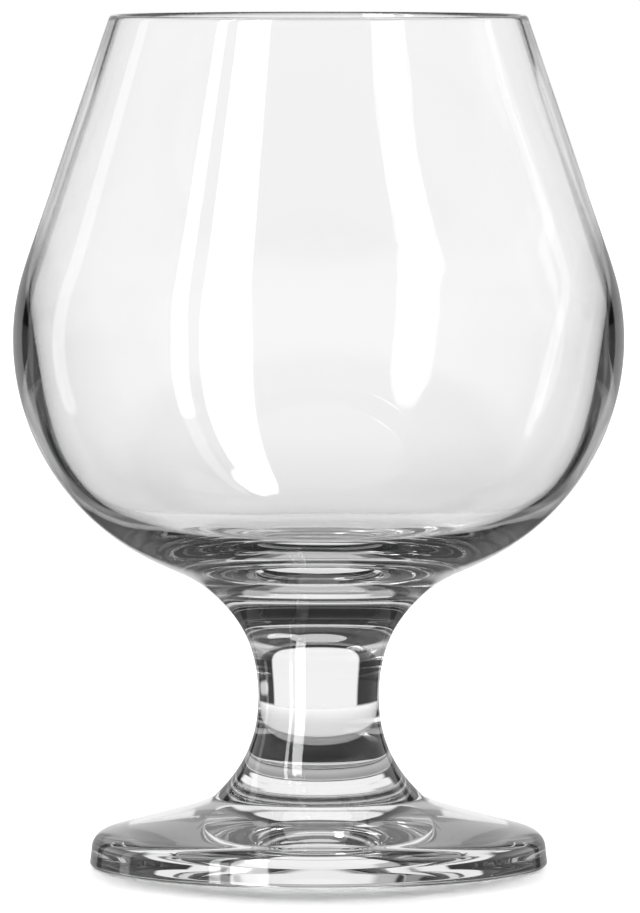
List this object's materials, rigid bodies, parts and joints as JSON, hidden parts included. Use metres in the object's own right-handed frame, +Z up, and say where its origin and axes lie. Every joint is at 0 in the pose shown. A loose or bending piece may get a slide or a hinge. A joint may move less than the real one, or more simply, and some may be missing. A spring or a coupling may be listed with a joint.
{
  "type": "brandy snifter",
  "caption": "Clear glass brandy snifter: wide bowl narrowing to the rim, short thick flared stem and round pressed foot.",
  "frame": {"origin": "centre of the foot's underside, on the plane that the glass stands on", "axes": "+Z up along the glass's axis to the rim; X and Y level, and alike because the glass is round"},
  "size_m": [0.089, 0.089, 0.124],
  "materials": {
    "clear_glass": "clear fire-polished soda-lime glass, smooth and glossy"
  },
  "bodies": {
    "root": {"bowl": "clear_glass", "stem": "clear_glass", "foot": "clear_glass"}
  },
  "joints": []
}
